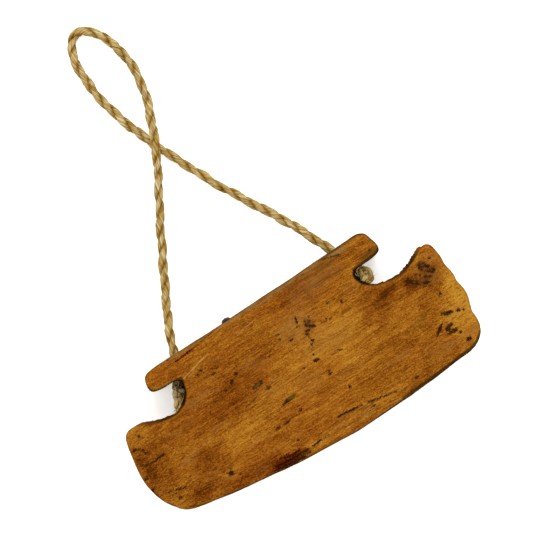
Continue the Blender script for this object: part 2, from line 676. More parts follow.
# Dark lines and cracks on the front: their points, half width, strength
LINES = [
    ([(-115, -1.8), (-109, -1.2)], 0.3, 0.75), ([(-109, -1.4), (-102.5, -0.6)], 0.45, 0.82),
    ([(-117, -6.2), (-112, -5.6)], 0.1, 0.55), ([(-115.5, -4.6), (-113, -4.4)], 0, 0.6),
    ([(-113.5, -24), (-109.5, -24.4)], 0.15, 0.78),
    ([(-108, -24.8), (-103, -26.6), (-101.5, -26.4)], 0.2, 0.88),
    ([(-101.5, -26.4), (-97, -23.6)], 0, 0.62), ([(-96, -22.6), (-86, -17.5)], -0.1, 0.45),
    ([(-107.5, -21.5), (-106, -24)], 0, 0.6), ([(-107, -30.4), (-103, -31.4)], 0, 0.6),
    ([(-110, -11), (-105.5, -13.2), (-104.8, -11)], 0, 0.55), ([(-112, -27), (-109, -27)], 0.4, 0.6),
    ([(-105, -14.5), (-106.8, -20)], 0, 0.45), ([(-110.5, -18), (-106, -17.6)], 0, 0.45),
    ([(-64, 47), (-55, 47.7), (-50, 48.3)], 0.1, 0.9), ([(-50, 48.3), (-45, 49), (-33, 50.5)], 0, 0.7),
    ([(-40, -3), (-31, -1.5)], 0.4, 0.5), ([(-16, -47.4), (-9, -46.9)], 0.1, 0.9),
    ([(-9, -46.9), (-3, -46.6)], 0, 0.7), ([(-47, -44.2), (-41, -43.8)], 0, 0.55),
    ([(-38, -43.3), (-32, -43.2)], 0.1, 0.75), ([(-31, -43.2), (-27.5, -42.8)], 0, 0.6),
    ([(-36, -44.6), (-30, -45.3), (-25, -45)], 0.15, 0.95),
    ([(-43, -46.6), (-33, -47.4), (-20, -47.6)], 0.35, 1), ([(-52, -47.8), (-44, -48)], 0.1, 0.65),
    ([(-46, -48.2), (-38, -48.9)], 0.35, 0.95), ([(-40, -49.2), (-30, -50), (-24, -50.6)], 0.5, 1),
    ([(-28, -49.2), (-19, -49.7)], 0.1, 0.9), ([(-2, 10), (14, 9.6), (40, 6.6)], -0.1, 0.45),
    ([(-4, -1.2), (13, -1.4)], 0, 0.45), ([(-62, -17), (-34, -13), (-24, -12.6)], -0.1, 0.45),
    ([(40, 12.5), (66, 10.2), (78, 10)], -0.1, 0.42), ([(8.5, -40), (14, -40.4), (20, -41)], 0.15, 1),
    ([(20, -41), (26, -41.7)], 0, 0.85), ([(30, -42.5), (44, -45)], 0.2, 0.8),
    ([(44, -45), (50, -46)], 0.45, 0.6), ([(50, 54.5), (58, 52), (66, 49.5)], 0.4, 0.7),
    ([(58, -51.4), (80, -50.8), (108, -49.4)], 1.1, 0.45),
]
# Olive, red, grey and lighter places, given in the same way
OLIVE = [
    (-25.5, 30, 1.4, 1.2, 0.8), (-13, 46, 3, 1.5, 0.7), (-8, 50.5, 3, 1, 0.7), (-7, 35, 2, 1, 0.7),
    (-4, 39, 1.5, 1.5, 0.7), (52.2, 16, 1.1, 2.8, 0.8, -20), (60.5, -39, 2, 1, 0.7), (90, -14, 6, 2, 0.6),
    (76, -17.5, 3, 1, 0.6), (83, -18, 5, 1.5, 0.6), (83, 39, 7, 2.2, 0.9), (53, 49.5, 7, 3.5, 0.6),
    (98, 8, 1, 0.8, 0.6, -30), (108.5, 14.5, 1.2, 0.9, 0.6, -15), (112, 8.8, 0.8, 0.7, 0.5),
    (24, 21.5, 0.8, 0.8, 0.5), (-109.5, -29.5, 2, 1, 0.5),
]
OLIVE_MARKS = [(-25.5, 5.3, 3.2, 1.2, 1, 8), (-10.5, -12.9, 3.6, 1.6, 1, 8)]
RED = [
    (-70, 7.5, 8, 1.3, 0.9, 3), (-57, 3.5, 8, 2.8, 0.6), (-45, -28, 4.5, 1.2, 0.7),
    (-106, -16.5, 1, 4, 0.8), (-56, 47.5, 9, 1.3, 0.8, 5), (-52, -34, 20, 11, 0.45), (20, 45, 32, 6, 0.45),
    (32, 33, 13, 9, 0.3), (15, -28, 17, 7, 0.4), (-30, 45, 25, 6, 0.15), (-46, 11, 30, 17, 0.4),
    (-74, -18, 14, 10, 0.4), (13, -7, 21, 14, 0.35), (45, 42, 16, 8, 0.3), (-79, 43, 10, 6, 0.3),
    (-15, -20, 22, 8, 0.4), (-66, 44, 11, 6, 0.4), (-86, 4, 13, 9, 0.4), (-35, 32, 13, 7, 0.4),
    (-10, -38, 22, 7, 0.45), (-60, -42, 22, 6, 0.4), (-36, -46, 15, 4.5, 1),
]
GREY = [
    (22, 52, 44, 2.2, 0.85, 1), (67, 51.5, 7, 2, 0.6), (25, -46, 8, 3, 0.35), (-42, 51, 30, 1.3, 0.7),
    (-62, 50.5, 12, 2, 0.35),
]
LIGHT = [
    (30, 4, 36, 22, 0.18), (-48, -20, 22, 9, 0.17), (113, -28, 12, 20, 0.25), (120, -9, 7, 18, 0.25),
    (79, -8, 14, 10, 0.12), (-33, -38, 14, 5, 0.12), (-110, -28, 9, 12, 0.08), (-20, -8, 32, 9, 0.1),
    (12, -28, 22, 7, 0.08), (48, -43.5, 24, 4, 0.14), (114, 17, 9, 7, 0.08), (-112, 16, 9, 8, 0.16),
    (-56, 20, 9, 8, 0.1), (-95, -22, 9, 6, 0.07), (-11, -48.5, 8, 2.6, 0.14), (66, 40, 5, 4, 0.1),
    (5, -47.5, 26, 3.5, 0.1), (50, 30, 14, 12, 0.06),
]
# Paler, greyer places, and the pale scratches on the front
PALE = [
    (17, 24, 15, 9, 0.5), (30, 6, 20, 8, 0.3), (50, 44, 14, 6, 0.4), (110, 8, 9, 9, 0.3),
    (32, 40, 14, 8, 0.3), (5, -14, 9, 5, 0.2), (-20, -2, 12, 6, 0.15),
]
SCRATCHES = [
    ([(-65.5, 34.6), (-56, 37), (-43.5, 40)], 0.05, 1), ([(-62, 33.5), (-57, 35.5)], 0, 0.7),
    ([(-20, 40), (-4, 43)], 0.1, 0.5), ([(60, 24), (84, 29)], 0.05, 0.5),
    ([(-95, -12), (-72, -9)], 0.1, 0.4),
]
# Dark rims along the front's edge: their points, half width, strength
RIMS = [
    ([(-66.8, 35.5), (-69, 36), (-76, 36.4)], 0.9, 1), ([(-76, 36.4), (-86, 37.2)], 0.55, 0.9),
    ([(-86, 37.2), (-88.7, 39.5), (-88.9, 41.5)], 0.9, 1),
    ([(-66.6, 34), (-67.1, 31.5), (-68.2, 27.5), (-71, 23), (-75, 20), (-79.5, 18.2)], 0.35, 0.9),
    ([(-79.5, 18.2), (-84, 17.8), (-92, 19)], 0.6, 0.9), ([(-92, 19), (-100, 21.3)], 0.3, 0.6),
    ([(69, 35.7), (76, 36.1), (86, 36.8), (90.5, 38.5)], 1.35, 1),
    ([(90.5, 38.3), (91.5, 42), (90, 48)], 0.7, 0.8), ([(84, 55), (88.5, 53), (90, 48)], 0.3, 0.5),
    ([(67, 33.4), (67.5, 29.5)], 0.2, 0.7),
    ([(88, 17.6), (93, 17.2), (98.5, 18.4), (106, 21.3), (111, 24.2)], 0.45, 0.8),
    ([(118, -44), (113.2, -47.8), (107, -49.8), (95, -50.4)], 1.7, 0.95),
    ([(95, -50.4), (75, -52), (52, -53.2)], 1.5, 1), ([(52, -53.5), (41, -54.1), (30, -54.5)], 0.7, 0.9),
    ([(-2, -54), (-16, -53.3), (-30, -52.2)], 0.3, 0.7), ([(-30, -52.2), (-55, -49)], 0.6, 0.9),
    ([(-55, -49), (-78, -46.1), (-93, -44.1)], 0.45, 0.85),
    ([(-93, -44.1), (-100, -42), (-106, -39.2)], 0.5, 0.9), ([(-122, -18), (-121, -22)], 0.5, 0.9),
    ([(-118, -29.5), (-115.2, -33.8)], 0.4, 0.8), ([(122.9, 8), (123.8, 2), (124.2, -2.5)], 0.2, 0.4),
]
# Grey-brown grime on the walls and rims round the front
GRIME = [
    (22, 55, 40, 5, 0.2), (74, 54, 16, 5, 1), (90, 46, 7, 12, 1), (80, 37, 15, 5, 1), (82, 17, 14, 6, 0.3),
    (101, 19, 8, 6, 0.9), (-78, 36, 15, 4, 1), (-67, 28, 5, 9, 0.9), (-88, 18, 24, 5, 1),
    (68, -53, 58, 6, 1, 3), (-31, -51, 32, 6, 1, 4), (10, -56, 30, 5, 0.6), (-88, -46, 30, 6, 0.6, 8),
    (117, -44, 9, 9, 1), (68, 30, 4, 8, 0.9),
]
# Places in the notches' corners, black with dirt
PITS = [
    (-68, 31, 3, 6, 1), (-72, 22.5, 5, 3, 1, 40), (-67, 36, 3, 2.5, 1), (-78, 36.5, 12, 2, 0.8),
    (-88, 18, 12, 2, 0.5), (68, 30, 3, 6, 1), (71, 24, 4, 3, 0.9, -40), (67, 35, 4, 2.5, 1),
    (78, 36, 12, 2, 0.8), (84, 18, 12, 2, 0.1), (104, 20, 9, 3, 0.6, 30), (-30, -50, 16, 2.5, 0.8, 2),
    (60, -53.5, 46, 1.6, 0.55, 2), (100, -50.5, 10, 1.6, 0.5), (-80, -46.5, 26, 1.2, 0.4, 5),
]
# Darker places
SHADY = [
    (40, 45, 32, 9, 0.12), (-112, -6, 12, 22, 0.12), (-88, -36, 12, 7, 0.1), (-49, 5, 22, 12, 0.13),
    (66, 8, 13, 12, 0.14), (108, 5, 10, 8, 0.14), (-44, -42, 9, 5, 0.18), (-64, -43, 18, 5, 0.12),
    (-96, -36, 8, 5, 0.15), (17, -12, 14, 11, 0.1), (-12, 27, 10, 8, 0.08), (46, -7, 9, 8, 0.07),
    (66, -44, 14, 5, 0.08), (-83, 10, 9, 6, 0.05), (-66, 37, 8, 5, 0.1), (1, -5, 8, 6, 0.07),
    (-116, -6, 4, 7, 0.15), (96, 9.5, 6, 4, 0.3, -20), (108.5, 14, 4.5, 4, 0.28, -20),
    (105, 5.5, 4.5, 3, 0.25), (112, 9, 4, 2.5, 0.25), (24, 21, 3.5, 4.5, 0.34), (80, 12, 7, 3, 0.24),
    (84, 39, 9, 3, 0.2), (-34, -47, 14, 3, 0.3, 3), (68, -20, 16, 8, 0.04), (-78, -20, 13, 10, 0.12),
    (-45, 20, 30, 12, 0.06), (40, 24, 16, 9, 0.06),
]
# Places full of small dark specks
SPECKS = [
    (-117, -4, 4, 9, 1.3), (-114, -10, 4, 3, 1), (-84, -35.5, 7, 5, 0.9), (-57, 3.5, 8, 3, 0.7),
    (-28.5, -17.5, 4, 3, 0.7), (25, -47, 8, 3.4, 0.8), (24, 20, 5, 4.5, 0.8), (108, 13, 5, 5, 0.8),
    (-117, 7, 3, 3, 0.8), (103, -31, 7, 6, 0.8), (102, 7, 10, 5, 0.8), (20, 11, 2, 7, 0.6),
    (-31, -46, 15, 5, 0.9), (-100, -30, 12, 6, 0.7), (80, 12, 9, 5, 0.5), (88, -15, 10, 5, 0.5),
    (-20, 0, 14, 8, 0.35), (70, -48, 40, 3, 0.5, 3),
]
# How far outside a mark its depth is still kept
MARK_REACH = 1.6


def from_middle(points, x, y, angle=0):
    """How far each point lies from a place, along a direction in degrees and across it."""
    c, s = math.cos(math.radians(angle)), math.sin(math.radians(angle))
    dx, dy = points[:, 0] - x, points[:, 1] - y
    return dx * c + dy * s, dy * c - dx * s


def depth_in(points, blobs):
    """How far inside the nearest blob each point lies, in millimetres, and that blob's strength."""
    depth = np.full(len(points), -MARK_REACH)
    strength = np.zeros(len(points))
    for x, y, long_r, short_r, power, *angle in blobs:
        along, across = from_middle(points, x, y, *angle)
        q = np.hypot(along / long_r, across / short_r)
        reach = np.where(q > 1, np.hypot(along, across) / np.maximum(q, 1), min(long_r, short_r))
        inside = (1 - q) * reach
        closer = inside > depth
        depth[closer] = inside[closer]
        strength[closer] = power
    return depth, strength


def depth_in_lines(points, lines, depth=None, strength=None, floor=-MARK_REACH):
    """The same for broken lines, on top of any depth and strength found before."""
    depth = np.full(len(points), floor) if depth is None else depth
    strength = np.zeros(len(points)) if strength is None else strength
    for corners, half, power in lines:
        for a, b in zip(corners[:-1], corners[1:]):
            a, b = np.array(a, float), np.array(b, float)
            along = b - a
            t = np.clip(((points[:, :2] - a) @ along) / (along @ along), 0, 1)
            away = np.linalg.norm(points[:, :2] - a - t[:, None] * along, axis=1)
            inside = half + 0.25 - away
            closer = inside > depth
            depth[closer] = inside[closer]
            strength[closer] = power
    return depth, strength


def soft_sum(points, blobs):
    """Soft patches added up."""
    total = np.zeros(len(points))
    for x, y, long_r, short_r, power, *angle in blobs:
        along, across = from_middle(points, x, y, *angle)
        q = (along / long_r) ** 2 + (across / short_r) ** 2
        total += power * np.exp(-0.9 * q * q)
    return total


# ---------------------------------------------------------------- bell body

# Sizes in millimetres, as in the CAD source
FRONT_FALL = 14
BACK_RISE = 9
MOUTH_D = 58
WALL = 9
BORES = [((-70, 36), (-63, 53)), ((71, 36), (63, 55))]
HANGER_X = 22
HANG_Z = 16
# The front's faces all lie higher than this
FRONT_LOW = 26


def bore_distance(points):
    """Distance from the axis of the nearest rope or hanger hole."""
    best = np.full(len(points), 99.0)
    for end, top in BORES:
        a = np.array([*end, HOLE_Z], float)
        run = unit(np.array([*top, HOLE_Z], float) - a)
        t = np.clip((points - a) @ run, -4, 24)
        best = np.minimum(best, np.linalg.norm(points - a - t[:, None] * run, axis=1) - 4.0)
    for x in (-HANGER_X, HANGER_X):
        away = np.hypot(points[:, 0] - x, points[:, 2] - HANG_Z) - 2.5
        best = np.where(points[:, 1] > 24, np.minimum(best, away), best)
    return best


def in_hollow(points):
    """True on the walls of the hollow."""
    x, y, z = np.abs(points[:, 0]), points[:, 1], points[:, 2]
    side = np.interp(y, [-62, -34, -14, 0, 8, 14, 21, 26, 29], [106, 106, 101, 91, 76, 60, 54, 50, 44])
    low = WALL + BACK_RISE * (np.maximum(0, x - 60) / 65) ** 2
    front = MOUTH_D - FRONT_FALL * (x / 125) ** 2
    high = np.minimum(front, np.interp(y, [-60, 0, 23, 28], [57, 51.5, 42, 37])) - WALL
    return (x < side + 1.6) & (y < 29.5) & (z > low - 1.6) & (z < high + 1.8)


# Edges of the two notches, and how far the wall under each leans out towards the back
LEANS = [
    ([(-67, 36), (-67.3, 31.1), (-68.4, 27.1), (-71.2, 22.6), (-74.5, 20)], 2.1),
    ([(67, 35), (66.8, 33), (67.3, 29.1), (69.5, 24.6)], 2.6),
    ([(-85, 17.8), (-92, 19), (-100, 21.3), (-107, 24.4), (-112, 25.3)], -1.5),
    ([(80, 19.2), (88, 17.6), (93, 17.2), (98.5, 18.4), (106, 21.3), (111, 24.2), (116.5, 26)], -2.3),
]


def lean_walls(points, normals):
    """How far each point of a notch's wall leans out into the notch."""
    total = np.zeros(len(points))
    low = np.clip((44 - points[:, 2]) / 34, 0, 1)
    wall = np.clip(1.4 - 2 * np.abs(normals[:, 2]), 0, 1)
    for edge, amount in LEANS:
        depth, _ = depth_in_lines(points, [(edge, -0.25, 1)], floor=-9.0)
        total += amount * np.clip(1 + (depth + 1.5) / 3.5, 0, 1) * low * wall
    return total


def refine_marks(obj, reach):
    """Splits the front's faces near the marks, so that a narrow mark keeps its shape."""
    points, normals = get_points(obj), get_normals(obj)
    depth, strength = depth_in(points, DARK + OLIVE_MARKS)
    depth, strength = depth_in_lines(points, LINES + RIMS + SCRATCHES, depth, strength)
    near = (depth > -reach) & (normals[:, 2] > 0.2) & (strength > 0.4) & (points[:, 2] > FRONT_LOW)
    mesh = bmesh.new()
    mesh.from_mesh(obj.data)
    mesh.verts.ensure_lookup_table()
    chosen = {e for v, n in zip(mesh.verts, near) if n for f in v.link_faces for e in f.edges}
    bmesh.ops.subdivide_edges(mesh, edges=sorted(chosen, key=lambda e: e.index), cuts=1, use_grid_fill=True)
    mesh.to_mesh(obj.data)
    mesh.free()
    obj.data.polygons.foreach_set("use_smooth", [True] * len(obj.data.polygons))
    obj.data.update()


# Layers of noise: height, lengths along X, Y and Z, and seed
WAVE = [(0.42, (34, 24, 24), 1), (0.16, (13, 9, 9), 2)]
GRAIN = [(0.05, (26, 2.6, 2.6), 3), (0.04, (8, 3.4, 3.4), 4)]


def layered(points, layers):
    return sum(height * noise(points * (1 / np.array(lengths)), seed) for height, lengths, seed in layers)


def carve(points, normals, inside):
    """How far each point of the wood stands off its plain shape."""
    wave, grain = layered(points, WAVE), layered(points, GRAIN)
    scoop = gouges(points * (1 / 9, 1 / 17, 1 / 9), 6)
    chiselled = 0.9 * (scoop ** 2 - 0.35) + 0.2 * noise(points * (1 / 3, 1 / 12, 1 / 3), 8)
    facet = gouges(points * (1 / 26, 1 / 13, 1 / 16), 12)
    whittled = 0.35 * (facet ** 2 - 0.4)
    back = np.clip(-normals[:, 2], 0, 1)
    rim = np.clip(1 - np.abs(normals[:, 2]) * 1.6, 0, 1)
    outside = wave + grain + whittled * np.clip(0.25 + back + rim, 0, 1)
    return np.where(inside, chiselled + 0.5 * wave, outside)


BODY_VOXEL = 1.4
# Faces are split twice, within these distances of a mark
SPLIT_NEAR = (1.4, 0.7)


def as_columns(values):
    """One number for each point as three equal columns, which relax can take."""
    return np.repeat(np.asarray(values, float)[:, None], 3, axis=1)


def shape_body(body):
    """Rounds the worn edges, carves the surface and keeps the holes and the back as the CAD has them."""
    points, edges = get_points(body), get_edges(body)
    hold = np.clip(bore_distance(points) / 2.4, 0.04, 1)
    walls = np.clip(1.3 - 1.6 * np.abs(get_normals(body)[:, 2]), 0, 1)
    rounded = relax(points, edges, 6, 0.5 * hold)
    rounded[:, :2] += 0.85 * walls[:, None] * (points - rounded)[:, :2]
    worn = relax(as_columns(np.linalg.norm(rounded - points, axis=1)), edges, 2, 0.5)[:, 0]
    set_points(body, rounded)
    inside = in_hollow(rounded)
    normals = get_normals(body)
    still = np.clip(bore_distance(rounded) / 3, 0, 1)
    moved = rounded + normals * (carve(rounded, normals, inside) * still)[:, None]
    lean = lean_walls(rounded, normals) * still
    moved[:, :2] += lean[:, None] * unit(normals[:, :2])
    moved = relax(moved, edges, 3, 0.5 * np.clip(3 * np.abs(lean), 0, 1))
    rest = rounded[:, 2] < 0.8
    moved[rest, 2] = np.maximum(moved[rest, 2], 0.0)
    set_points(body, moved)
    set_field(body, "worn", worn)
    set_field(body, "raw", relax(as_columns(inside), edges, 3, 0.6)[:, 0])


def paint_front(body, points, front):
    """Keeps where the front's marks, stains and scratches are, and dents the dark marks."""
    depth, strength = depth_in_lines(points, LINES, *depth_in(points, DARK))
    dent = 0.22 * np.clip((depth + 0.3) / 0.8, 0, 1) * strength * front
    set_points(body, points - get_normals(body) * dent[:, None])
    set_field(body, "mark", np.where(front > 0.2, depth, -MARK_REACH))
    set_field(body, "ink", strength * front)
    olive, olive_power = depth_in(points, OLIVE + OLIVE_MARKS)
    set_field(body, "olive", np.where(front > 0.2, olive, -MARK_REACH))
    set_field(body, "olive_power", olive_power * front)
    for name, patches in (("red", RED), ("grey", GREY), ("pale", PALE)):
        set_field(body, name, np.clip(soft_sum(points, patches), 0, 1) * front)
    set_field(body, "shade", (soft_sum(points, LIGHT) - soft_sum(points, SHADY)) * front)
    for name, lines, edge, width in (("scratch", SCRATCHES, 0.3, 0.5), ("rim", RIMS, 0.35, 0.7)):
        depth, power = depth_in_lines(points, lines)
        set_field(body, name, np.clip((depth + edge) / width, 0, 1) * power * front)


def paint_sides(body, points, normals, front, outside):
    """Keeps where the walls and rims are grimy, pitted, specked and of end grain."""
    handled = 0.7 * np.clip(noise(points / 24, 17) + 0.25, 0, 1) * (1 - front) * outside
    set_field(body, "speck", np.clip(soft_sum(points, SPECKS), 0, 1) * front + handled)
    rims = np.clip((0.9 - normals[:, 2]) / 0.25, 0, 1) * outside
    steep = np.clip((0.75 - normals[:, 2]) / 0.3, 0, 1) * outside
    smoky = np.clip(1.3 * noise(points / 21, 15) + 0.7 * noise(points / 8, 16), 0, 1)
    low = 0.35 * np.clip((14 - points[:, 2]) / 12, 0, 1)
    set_field(body, "grime", rims * np.clip(0.2 + 0.5 * smoky + low + soft_sum(points, GRIME), 0, 1))
    set_field(body, "end", np.clip((np.abs(normals[:, 0]) - 0.45) / 0.3, 0, 1) * outside * (1 - front))
    set_field(body, "pit", steep * np.clip(soft_sum(points, PITS), 0, 1))


def make_body(wood):
    """The carved block, with numbers at its vertices for the wood's marks."""
    body = remeshed("bell_body", "carved_bell_body", BODY_VOXEL)
    shape_body(body)
    for reach in SPLIT_NEAR:
        refine_marks(body, reach)
    points, normals = get_points(body), get_normals(body)
    outside = get_field(body, "raw") < 0.5
    front = np.clip((normals[:, 2] - 0.05) / 0.3, 0, 1) * (points[:, 2] > FRONT_LOW) * outside
    paint_front(body, points, front)
    paint_sides(body, points, normals, front, outside)
    dress(body, wood, "carved_wood", "bell", "bell_body")


# The wood's colours are given as they look in the light, and this scales them to the wood's own.
# In these functions g is the material's graph and n holds its noises.
WOOD_K = 0.72


def wood_rgb(*rgb):
    return srgb(*rgb, WOOD_K)


def wood_noises(g):
    """The wood's noises, from fine fibres along X to broad flames."""
    place = g.warped(g.mm, 0.03, (0.0, 5.0, 5.0))
    place = g.warped(place, 0.13, (0.0, 1.3, 1.3))
    return SimpleNamespace(
        place=place,
        fine=g.noise(g.stretched(0.08, 1.0, 1.0, place), detail=4, rough=0.62),
        mid=g.noise(g.stretched(0.016, 0.26, 0.26, place), detail=3),
        flame=g.noise(g.stretched(0.02, 0.06, 0.06, place), detail=3),
        mottle=g.noise(g.mm, scale=0.16, detail=4, rough=0.6),
        crumb=g.noise(g.stretched(0.8, 1.6, 1.6), detail=1, rough=0.7),
        flecks=g.noise(g.stretched(1.0, 1.9, 1.9), detail=2, rough=0.6),
        streaks=g.remap(g.noise(g.stretched(0.05, 1.25, 1.25, place), detail=1), 0.6, 0.7, 0, 0.65))


def grain_colour(g, n):
    """Golden-brown grain with reddish, paler and dark-streaked places."""
    tone = g.plus(g.times(n.fine, 1.05), g.times(n.mid, 0.45), g.times(n.flame, 0.3), g.times(n.mottle, 0.4),
                  g.times(n.crumb, 1.35), -1.29, g.times(g.field("shade"), 1.3))
    tone = g.plus(tone, g.times(g.remap(g.field("worn"), 0.1, 0.45), 0.08))
    colour = g.ramp(tone, WOOD_K, [
        (0.0, 80, 36, 5), (0.2, 111, 57, 10), (0.38, 137, 76, 15), (0.5, 151, 88, 19),
        (0.62, 163, 101, 27), (0.8, 178, 118, 33), (1.0, 196, 139, 46)])
    reddish = g.mix(1.0, colour, (0.93, 0.76, 0.8, 1), "MULTIPLY")
    patch = g.remap(g.noise(g.stretched(0.03, 0.09, 0.09), detail=2), 0.5, 0.72, 0, 0.45)
    red = g.times(g.field("red"), g.remap(n.crumb, 0.3, 0.6, 0.5, 1.0))
    colour = g.mix(g.math("MAXIMUM", red, patch), colour, reddish)
    pale = g.remap(g.noise(g.stretched(0.025, 0.07, 0.07), scale=1.3, detail=2), 0.55, 0.75, 0, 0.3)
    pale = g.math("MAXIMUM", pale, g.times(g.field("pale"), g.remap(n.mottle, 0.3, 0.6, 0.5, 1.0)))
    colour = g.mix(pale, colour, wood_rgb(150, 104, 48))
    return g.mix(n.streaks, colour, wood_rgb(104, 48, 8))


def end_grain(g, n, colour):
    """Dark rays and drying checks down the two ends."""
    rays = g.noise(g.stretched(0.1, 0.9, 0.22, n.place), detail=4, rough=0.65)
    checks = g.remap(g.noise(g.stretched(0.05, 0.75, 0.06, n.place), detail=2), 0.62, 0.66)
    end = g.mix(g.remap(rays, 0.35, 0.65), wood_rgb(104, 58, 14), wood_rgb(160, 104, 40))
    end = g.mix(g.times(checks, 0.85), end, wood_rgb(46, 24, 8))
    return g.mix(g.times(g.field("end"), 0.75), colour, end)


def weathered(g, n, colour, olive, grime):
    """Pale scratches, grey along the top, olive stains, grime on the rims and dirt in the corners."""
    scratch = g.times(g.field("scratch"), g.remap(n.fine, 0.35, 0.6, 0.35, 0.8))
    colour = g.mix(scratch, colour, wood_rgb(196, 150, 76))
    grey = g.times(g.field("grey"), g.remap(g.plus(n.fine, g.times(n.mottle, 0.6)), 0.62, 0.92))
    colour = g.mix(grey, colour, wood_rgb(146, 117, 66))
    stained = g.times(g.remap(olive, -0.8, 0.9), g.field("olive_power"))
    colour = g.mix(g.times(stained, 0.5), colour, wood_rgb(96, 68, 12))
    colour = g.mix(g.times(grime, 0.85), colour, wood_rgb(60, 42, 18))
    pit = g.times(g.field("pit"), g.remap(n.mottle, 0.3, 0.6, 0.6, 1.0))
    return g.mix(g.times(pit, 0.9), colour, wood_rgb(28, 18, 8))


def marked(g, n, colour, olive, specks):
    """Specks, dark rims, and marks that are clusters of flecks with a soft brown edge."""
    colour = g.mix(g.times(specks, 0.7), colour, wood_rgb(62, 30, 6))
    ink = g.field("ink")
    inside = g.math("MAXIMUM", g.math("MINIMUM", g.field("mark"), 0.5), -1.2)
    firm = g.times(g.math("SUBTRACT", ink, 0.85), 0.32)
    halo = g.times(g.remap(g.plus(inside, g.times(n.flecks, 2.5)), 0.4, 1.8), ink)
    colour = g.mix(g.times(halo, 0.5), colour, wood_rgb(96, 46, 6))
    mark = g.times(g.remap(g.plus(n.flecks, g.times(inside, 0.22), firm), 0.455, 0.505),
                   g.math("MULTIPLY", ink, 1.22, True))
    rim = g.times(g.field("rim"), g.remap(g.plus(n.flecks, n.mottle), 0.7, 1.0, 0.6, 1.0))
    colour = g.mix(g.times(rim, 0.85), colour, wood_rgb(58, 36, 8))
    heart = g.remap(olive, -0.3, 0.9, 0, 0.7)
    inked = g.mix(heart, wood_rgb(54, 30, 11), wood_rgb(108, 84, 30))
    inked = g.mix(g.remap(g.field("red"), 0.5, 1.0), inked, wood_rgb(58, 12, 6))
    return g.mix(mark, colour, inked), mark


def wood_material():
    """Waxed golden-brown wood with fine grain along X, stains, specks and worn edges."""
    g = Graph("carved_wood", 0.5, 0.0)
    n = wood_noises(g)
    raw = g.field("raw")
    olive = g.plus(g.field("olive"), g.swing(g.stretched(0.8, 1.2, 1.2), 1.4, 0.9, 3))
    grime = g.remap(g.plus(g.times(n.crumb, 0.5), n.mottle), 0.55, 0.9, 0.35, 1.0)
    grime = g.times(g.field("grime"), grime)
    dots = g.noise(g.stretched(0.8, 1.25, 1.25), detail=2, rough=0.6)
    rare = g.remap(g.noise(g.mm, scale=0.05, detail=2), 0.5, 0.7, -0.03, 0.04)
    specks = g.remap(g.plus(dots, g.times(g.field("speck"), 0.17), rare), 0.70, 0.77)
    colour = end_grain(g, n, grain_colour(g, n))
    colour = weathered(g, n, colour, olive, grime)
    colour, mark = marked(g, n, colour, olive, specks)
    # inside the hollow the wood is bare, paler and dusty
    bare = g.mix(g.noise(g.stretched(0.3, 0.06, 0.3), detail=4), wood_rgb(96, 60, 26), wood_rgb(170, 124, 70))
    colour = g.mix(g.times(raw, 0.85), colour, bare)
    rough = g.plus(0.42, g.times(n.mottle, 0.2), g.times(raw, 0.3), g.times(mark, 0.15), g.times(grime, 0.4))
    height = g.plus(g.times(n.fine, 0.9), g.times(n.crumb, 0.6), g.times(n.mottle, 0.9),
                    g.times(mark, -0.5), g.times(specks, -0.25), g.times(n.streaks, -0.5))
    g.bump(height, 0.6, 0.5)
    return g.finish(colour, rough)


make_body(wood_material())

# ---------------------------------------------------------------- hangers, links and clappers

# Places and sizes of the eyes, legs and rings in millimetres, as in the CAD source
EYE_Y = 21.9
EYE_R = 4.5
LEG_X = 1.2
RING_Y = 14.4
RING_R = 5.5
WIRE_R = 1.0
SWAY_Y = 8.9
CLENCH_Y = {"left": 52.0, "right": 51.5}
SIDE = {"left": -1, "right": 1}
# The left hanger's ends are hammered together into one stout bow over the bar
BOW_R = 1.4
WIRE_STEP = 0.4
CLAPPER_VOXEL = 0.6


def wire_mesh(path, radius, closed, seed, sides=14):
    """A length of hand-drawn wire, a little uneven and pitted."""
    if closed:
        path = np.vstack([path, path[:1]])
    path = evenly(path, WIRE_STEP)
    if closed:
        path = path[:-1]
    tangent, side, up = frames_along(path)
    if closed:
        tangent = unit(np.roll(path, -1, 0) - np.roll(path, 1, 0))
        side = unit(np.cross(tangent, [1.0, 0.02, 0.01]))
        up = np.cross(tangent, side)
    spots = tube(path, radius, sides, side, up)
    size = radius * (1 - 0.035 + 0.03 * noise(spots * 0.9, seed) + 0.02 * noise(spots * 2.3, seed + 1))
    points = tube(path, size.reshape(len(path), sides, 1), sides, side, up)
    return points, grid_faces(len(path), sides, closed=closed)


def iron_material():
    """Dark iron wire with brown rust."""
    g = Graph("rusty_iron", 0.75, 0.2)
    g.shader.inputs["Metallic"].default_value = 0.5
    rust = g.remap(g.noise(g.mm, scale=0.55, detail=5, rough=0.65), 0.42, 0.62)
    grain = g.noise(g.mm, scale=2.4, detail=4)
    dark = g.mix(grain, (0.02, 0.018, 0.016, 1), (0.07, 0.06, 0.052, 1))
    brown = g.mix(grain, (0.06, 0.022, 0.009, 1), (0.18, 0.075, 0.03, 1))
    g.bump(g.plus(g.times(rust, 0.6), grain), 0.6, 0.15)
    return g.finish(g.mix(rust, dark, brown), g.remap(rust, 0, 1, 0.42, 0.85))


